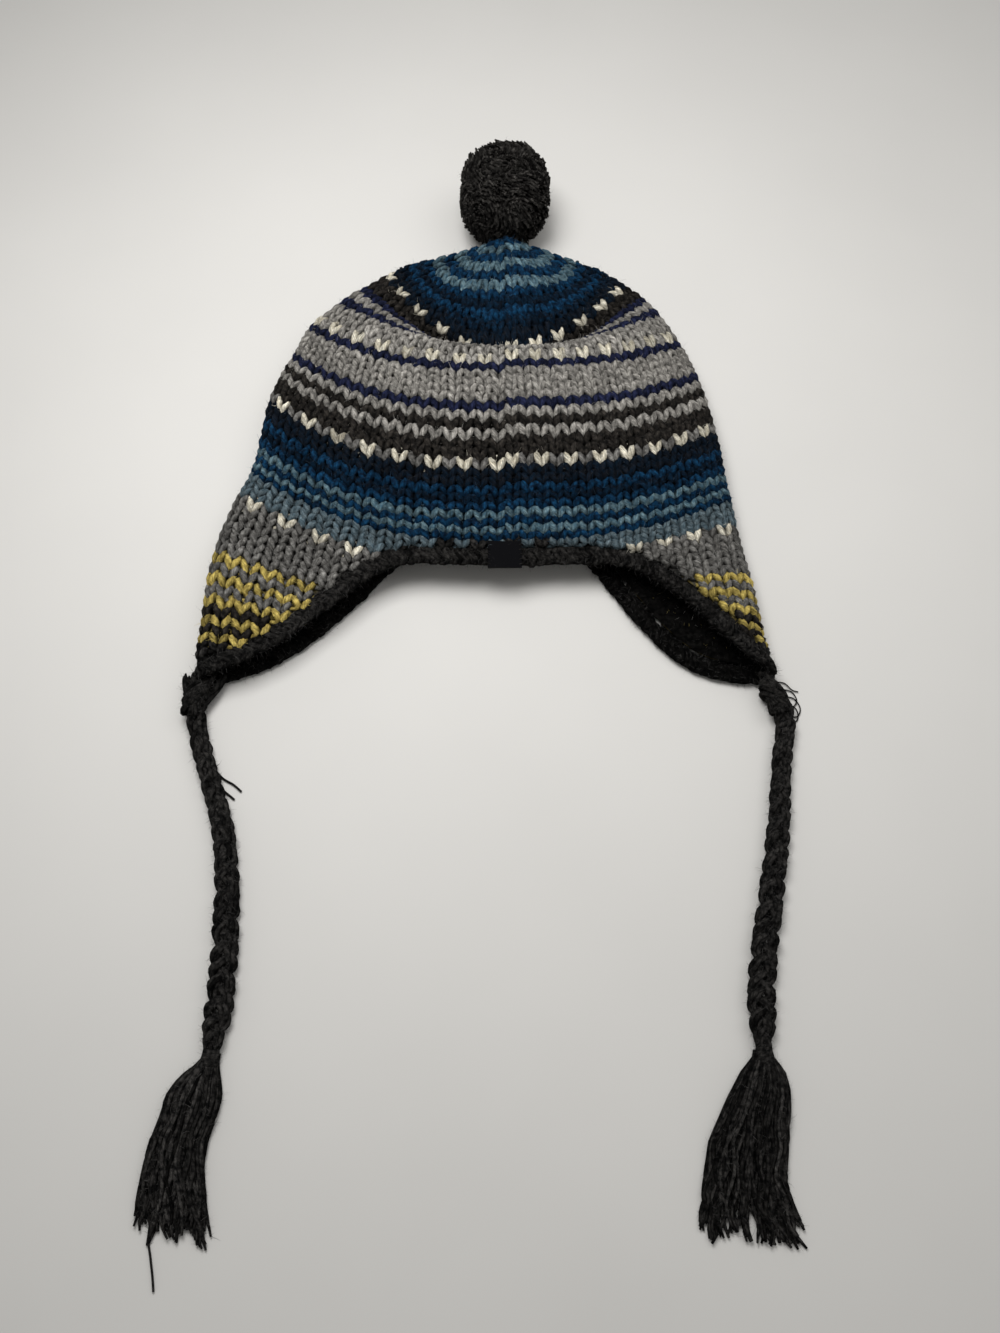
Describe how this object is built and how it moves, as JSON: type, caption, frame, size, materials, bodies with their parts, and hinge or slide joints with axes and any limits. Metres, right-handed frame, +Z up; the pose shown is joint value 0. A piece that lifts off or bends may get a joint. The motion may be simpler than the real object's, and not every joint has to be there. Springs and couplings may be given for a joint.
{
  "type": "knitted ear-flap hat (chullo)",
  "caption": "Thick striped wool chullo hat with ear flaps, pompom and braided ties ending in tassels, lying flat.",
  "frame": {"origin": "centre of the hat's footprint on the surface it lies on, measured without the ties, their wraps and the tassels", "axes": "+Z up from the surface, +Y from the ties to the pompom, +X to the right ear flap as seen from above"},
  "size_m": [0.3024, 0.5678, 0.05],
  "materials": {
    "blue_wool": "matte",
    "charcoal_wool": "matte",
    "grey_pompom_yarn": "matte",
    "black_weave": "matte"
  },
  "bodies": {
    "root": {"knit_body": "blue_wool", "edge_trim": "charcoal_wool", "label": "black_weave", "pompom": "grey_pompom_yarn", "tie_root_left": "charcoal_wool", "tie_root_right": "charcoal_wool", "tie_left": "charcoal_wool", "tie_right": "charcoal_wool", "tie_wrap_left": "charcoal_wool", "tie_wrap_right": "charcoal_wool", "tassel_left": "charcoal_wool", "tassel_right": "charcoal_wool"}
  },
  "joints": []
}
